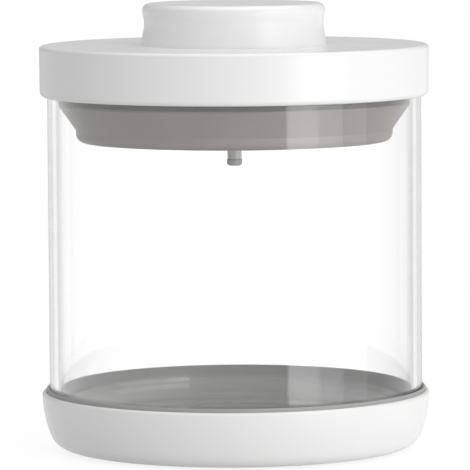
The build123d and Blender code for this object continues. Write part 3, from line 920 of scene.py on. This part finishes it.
# Lid cover
# The white outer lid in the same glossy plastic as the cup: a flat top, a skirt with round
# edges, a rib underneath that presses the housing on the jar, and a collar for the knob.
collar_inside, collar_outside, collar_top = 15.35, 18.05, 157.8
lid_radius, skirt_radius, skirt_inside = 75, 74.8, 72.6
lid_low, lid_under, lid_high = 136.15, 153.15, 155.75
rib_outside, rib_inside, rib_low = 70.5, 68.5, 148.6
lid_top = turned(
    "white_lid",
    [
        (collar_inside, collar_top, 0.3),
        (collar_outside, collar_top, 0.3),
        (collar_outside, lid_high),
        (lid_radius, lid_high, 1.4),
        (skirt_radius, lid_low, 2),
        (skirt_inside, lid_low, 0.5),
        (skirt_inside, lid_under, 0.6),
        (rib_outside, lid_under),
        (rib_outside, rib_low),
        (rib_inside, rib_low),
        (rib_inside, lid_under),
        (collar_inside, lid_under),
    ],
    white_plastic,
    steps_round=256,
    corner_steps=10,
    shaded=False,
)
screw_holes = peg("screw_holes", 1.5, 28, 152.0, 157.0)
all_round(screw_holes, 4, 45, white_plastic)
worked(lid_top, ("DIFFERENCE", screw_holes))
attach(lid_top, "lid")
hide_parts("lid_cover")

# Lid screws
# Four zinc-plated screws under the knob, through the lid into the posts of the chamber cover.
dressed(zinc_plate, "lid_screws")

# Cam sleeve with its washer and ring
# The sleeve turns with the knob, and its two helical slots lift the drive pins. It rides on a
# slippery plastic washer on the collar, and a spring ring under the lid keeps it in.
dressed(inner_plastic, "cam_sleeve")
washer_plastic = plastic_finish(
    "Washer plastic", (0.76, 0.73, 0.66), 0.5, mottle=0.06, marks=0.05, grain_share=0.4
)
dressed(washer_plastic, "bearing_washer")
dressed(spring_steel, "retaining_ring")

# Knob
# A waisted white cap with a flared foot and a softly rounded lip, moulded with a well for
# the button and three screw posts inside. Turning it to and fro works the pump.
knob_top, knob_under, knob_waist = 171.75, 169.35, 163.6665
knob_flare, knob_foot = 156.35, 155.76
well_radius, well_wall, well_outside, well_low = 13.15, 14.8, 16.6, 165.15
knob_cap = turned(
    "turning_knob",
    [
        (well_radius, knob_top, 0.35),
        (35.65, knob_top, 2.7),
        (34.3, knob_waist, 14),
        (35.8, knob_flare, 0.3),
        (35.8, knob_foot),
        (33.6, knob_foot),
        (33.6, knob_flare),
        (32.1, knob_waist),
        (32.1, knob_under),
        (well_outside, knob_under),
        (well_outside, well_low),
        (well_wall, well_low),
        (well_wall, knob_under),
        (well_radius, knob_under),
    ],
    white_plastic,
    steps_round=256,
    corner_steps=14,
    shaded=False,
)
knob_post_circle = 21.5
knob_posts = peg("knob_posts", post_radius, knob_post_circle, 160.55, 169.7)
knob_ribs = rib("knob_ribs", 24.65, 32.6, rib_thickness, 167.25, 169.7)
knob_pilots = peg("knob_pilots", pilot_radius, knob_post_circle, 160.0, 165.75)
for one in (knob_posts, knob_ribs, knob_pilots):
    all_round(one, 3, 90, white_plastic)
worked(knob_cap, ("UNION", knob_posts), ("UNION", knob_ribs), ("DIFFERENCE", knob_pilots))
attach(knob_cap, "knob")
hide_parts("knob")

# Knob screws
# Three zinc-plated screws from below, through the sleeve's flange into the knob's posts.
dressed(zinc_plate, "knob_screws")

# Release button
# A round white button, flush in the middle of the knob and dished a little for the finger.
# A ring of lugs holds it down, and the boss under it is pressed on the stem.
button_top, button_under, button_flange_low, boss_low = 171.75, 169.55, 168.05, 164.7
button_radius, button_flange = 12.9, 14.4
socket_radius, socket_top, boss_radius = 1.32, 168.95, 3.4
dish_rim, dish_depth, dish_steps = 11.9, 0.35, 12
dish_radius = (dish_rim**2 + dish_depth**2) / (2 * dish_depth)
dish = []
for step in range(dish_steps + 1):
    out = dish_rim * step / dish_steps
    dish.append((out, button_top + dish_radius - dish_depth - sqrt(dish_radius**2 - out**2)))
button_cap = turned(
    "round_button",
    [
        (0, socket_top),
        (socket_radius, socket_top),
        (socket_radius, boss_low),
        (boss_radius, boss_low, 0.3),
        (boss_radius, button_under),
        (11.4, button_under),
        (11.4, button_flange_low, 0.2),
        (button_flange, button_flange_low, 0.2),
        (button_flange, 169.3, 0.2),
        (button_radius, 169.3),
        (button_radius, button_top, 0.5),
        *dish[::-1],
    ],
    white_plastic,
    steps_round=160,
)
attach(button_cap, "button")
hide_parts("release_button")

# Valve cap
# A soft grey cap on the lower end of the stem. The button's spring pulls it up against the
# nozzle, and pressing the button opens it and lets the air back in.
valve_rubber = rubber_finish(
    "Valve rubber", (0.42, 0.41, 0.4), 0.35, dust=0.1, grain=2600.0, relief=0.00002
)
cap_radius, cap_low, cap_top = 2.95, 109.1032, 111.6032
stem_radius, stem_low = 1.32, 110.3532
valve_cap = turned(
    "valve_cap",
    [
        (0, cap_low),
        (cap_radius, cap_low, 1.1),
        (cap_radius, cap_top, 0.15),
        (stem_radius, cap_top),
        (stem_radius, stem_low),
        (0, stem_low),
    ],
    valve_rubber,
    steps_round=96,
)
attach(valve_cap, "button")
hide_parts("vent_valve")

# Button spring
# A coil of drawn spring wire round the button's boss. It stands on the sleeve's cap.


def coiled_wire_tree():
    """Coils a round wire about the axis, right-handed, from its lowest point up."""
    takes = [
        ("Turns", "Float"),
        ("Steps per turn", "Int"),
        ("Coil radius", "Float"),
        ("Wire radius", "Float"),
        ("Steps round the wire", "Int"),
        ("Foot", "Float"),
        ("Rise", "Float"),
        ("Finish", "Material"),
    ]
    tree, given = new_tree("GeometryNodeTree", "Coiled wire", takes, [("Piece", "Geometry")])
    coil = placed(
        tree,
        "GeometryNodeCurveSpiral",
        {
            "Resolution": given["Steps per turn"],
            "Rotations": given["Turns"],
            "Start Radius": given["Coil radius"],
            "End Radius": given["Coil radius"],
            "Height": given["Rise"],
            "Reverse": True,
        },
    )
    wire = placed(
        tree,
        "GeometryNodeCurvePrimitiveCircle",
        {"Radius": given["Wire radius"], "Resolution": given["Steps round the wire"]},
    )
    drawn = placed(
        tree,
        "GeometryNodeCurveToMesh",
        {
            "Curve": coil.outputs["Curve"],
            "Profile Curve": wire.outputs["Curve"],
            "Fill Caps": True,
        },
    )
    level = placed(tree, "ShaderNodeCombineXYZ", {"Z": given["Foot"]})
    stood = placed(
        tree,
        "GeometryNodeTransform",
        {"Geometry": drawn.outputs["Mesh"], "Translation": level.outputs["Vector"]},
    )
    smooth = placed(
        tree,
        "GeometryNodeSetShadeSmooth",
        {"Geometry": stood.outputs["Geometry"]},
        domain="FACE",
    )
    return made_real(tree, smooth.outputs["Geometry"], given["Finish"])


spring_foot = 0.16225
spring_top = 0.1691
coil_spring = new_object("coil_spring", bpy.data.meshes.new("coil_spring"))
grown(
    coil_spring,
    coiled_wire_tree(),
    {
        "Turns": 4.0,
        "Steps per turn": 48,
        "Coil radius": 0.007,
        "Wire radius": 0.0004,
        "Steps round the wire": 14,
        "Foot": spring_foot,
        "Rise": spring_top - spring_foot,
        "Finish": spring_steel,
    },
)
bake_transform(coil_spring)
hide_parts("button_spring")

# Table
# A small round table top, white to the camera and through the glass. In diffuse light it is grey,
# with painted light on its right side: paler there, so that it lights the lower right of the cup.
table_radius, table_drop = 0.22, 0.0003
shape = bmesh.new()
bmesh.ops.create_circle(shape, cap_ends=True, segments=128, radius=table_radius)
bmesh.ops.translate(shape, verts=shape.verts, vec=(0, 0, -table_drop))
table = from_shape("table", shape)
table_white, tree, shader = new_finish("Table white")
shader.inputs["Roughness"].default_value = 0.9
shader.inputs["Specular IOR Level"].default_value = 0.1
ray = placed(tree, "ShaderNodeLightPath", {}).outputs
share_in_gloss, glow_level, more_through_glass = 0.85, 0.86, 0.14
direct = worked_out(tree, "MAXIMUM", ray["Is Camera Ray"], ray["Is Transmission Ray"])
mirrored = worked_out(tree, "MULTIPLY", ray["Is Glossy Ray"], share_in_gloss)
seen = worked_out(tree, "MAXIMUM", direct, mirrored)
through = worked_out(tree, "MULTIPLY", ray["Is Transmission Ray"], more_through_glass)
glow = worked_out(tree, "MULTIPLY_ADD", seen, glow_level, through)
spot = placed(tree, "ShaderNodeSeparateXYZ", {"Vector": own_place(tree)})
# Painted light: the table's grey gets paler towards the right, so that its bounce lights the cup's
# lower right.
painted_light_right = eased(tree, spot.outputs["X"], -0.06, 0.1, 0.74, 1.0)
grey = mixed(tree, seen, painted_light_right, (0.17, 0.17, 0.17, 1))
tree.links.new(grey, shader.inputs["Base Color"])
shader.inputs["Emission Color"].default_value = (1, 1, 1, 1)
tree.links.new(glow, shader.inputs["Emission Strength"])
table.data.materials.append(table_white)

# Studio
# The room, by the kind of ray. The camera sees white. Gloss sees grey walls, a lighter left,
# a darker right and a bright ceiling that draws the round edges. Through the glass there is a
# white screen with dark upright strips, which draw the jar's edges.


def graded(tree, value, stops):
    """A grey that changes along a value from 0 to 1, from stop to stop."""
    ramp = placed(tree, "ShaderNodeValToRGB", {0: value})
    while len(ramp.color_ramp.elements) < len(stops):
        ramp.color_ramp.elements.new(0.5)
    for stop, (where, grey) in zip(ramp.color_ramp.elements, stops):
        stop.position = where
        stop.color = (grey, grey, grey, 1)
    return ramp.outputs["Color"]


studio = bpy.data.worlds.new("Studio")
bpy.context.scene.world = studio
studio.use_nodes = True
tree = studio.node_tree
ray = placed(tree, "ShaderNodeLightPath", {}).outputs
way = placed(tree, "ShaderNodeTexCoord", {}).outputs["Generated"]
parts = placed(tree, "ShaderNodeSeparateXYZ", {"Vector": way}).outputs
to_front = worked_out(tree, "MULTIPLY", parts["Y"], -1.0)
bearing = worked_out(tree, "ARCTAN2", parts["X"], to_front)
to_the_right = worked_out(tree, "DIVIDE", bearing, pi)

# What gloss sees
left_side = eased(tree, bearing, radians(-29), radians(-32))
front_grey = between(tree, left_side, 0.93, 1.12)
far_grey = eased(tree, parts["Y"], 0.9, 0.94, 0.9, 0.7)
far_side = eased(tree, parts["Y"], -0.1, 0.25)
low_grey = between(tree, far_side, front_grey, far_grey)
right_side = graded(
    tree, to_the_right, [(54 / 180, 1.0), (68 / 180, 0.6), (125 / 180, 0.6), (150 / 180, 1.0)]
)
shaded_grey = worked_out(tree, "MULTIPLY", low_grey, right_side)
high_grey = eased(tree, parts["Z"], 0.6, 0.97, 0.46, 4.0)
above = eased(tree, parts["Z"], -0.02, 0.04)
gloss_grey = between(tree, above, shaded_grey, high_grey)

# What matt surfaces get: more from above, from the right and from the front
overhead = eased(tree, parts["Z"], 0.1, 0.9, 0.52, 0.88)
sideways = worked_out(tree, "MULTIPLY_ADD", parts["X"], 0.16, overhead)
to_all_sides = worked_out(tree, "MULTIPLY_ADD", to_front, 0.2, sideways)
by_gloss = between(tree, ray["Is Glossy Ray"], to_all_sides, gloss_grey)

# What shows through the glass, by the degrees off straight behind it
strips = [
    (40, 0.95),
    (38, 0.64),
    (31.8, 0.64),
    (29.5, 0.95),
    (23, 0.95),
    (21.6, 0.56),
    (18.2, 0.64),
    (15.2, 0.91),
    (8, 0.93),
    (3.5, 1.0),
]
to_either_side = worked_out(tree, "ABSOLUTE", to_the_right)
screen = graded(tree, to_either_side, [(1 - off / 180, grey) for off, grey in strips])
past_the_glass = worked_out(tree, "MULTIPLY", screen, 1.07)
behind = between(tree, ray["Is Transmission Ray"], by_gloss, past_the_glass)
background = tree.nodes["Background"]
background.inputs["Color"].default_value = (1, 1, 1, 1)
tree.links.new(between(tree, ray["Is Camera Ray"], behind, 1.0), background.inputs["Strength"])

# Lights
# Three upright soft lights stand edge to edge on the right, the brightest nearest the camera.
# The last is hidden from gloss, so that the right side stays dark in the glass.


def soft_light(name, first_degrees, last_degrees, radiance):
    """An upright soft light seen from the object between two bearings right of the camera."""
    distance, low, high = 1.5, -0.45, 0.75
    bearing = radians(first_degrees + last_degrees) / 2
    light = bpy.data.lights.new(name, "AREA")
    light.shape = "RECTANGLE"
    light.size = 2 * distance * tan(radians(last_degrees - first_degrees) / 2)
    light.size_y = high - low
    light.energy = 4 * radiance * light.size * light.size_y
    lamp = new_object(name, light)
    place = Vector((distance * sin(bearing), -distance * cos(bearing), (low + high) / 2))
    turn = Vector((-place.x, -place.y, 0)).to_track_quat("-Z", "Y").to_matrix().to_4x4()
    lamp.matrix_world = Matrix.Translation(place) @ turn
    lamp.visible_camera = False
    return lamp


soft_light("Key light", 32, 52, 1.8)
soft_light("Side light", 52, 68, 1.05)
fill_light = soft_light("Fill light", 68, 90, 0.78)
fill_light.visible_glossy = False

# Camera
# It stands 1.8 m away with a long lens, a little above the lid, and leans a third of a degree.
eye = Vector((0, -1.788, 0.240))
aim = Vector((0, 0, 0.0821))
lens = bpy.data.cameras.new("Camera")
lens.sensor_width = 36
lens.lens = 356
camera = new_object("Camera", lens)
camera.matrix_world = (
    Matrix.Translation(eye)
    @ (aim - eye).to_track_quat("-Z", "Y").to_matrix().to_4x4()
    @ Matrix.Rotation(radians(-0.35), 4, "Z")
)
bpy.context.scene.camera = camera
bpy.context.scene.view_settings.view_transform = "Standard"
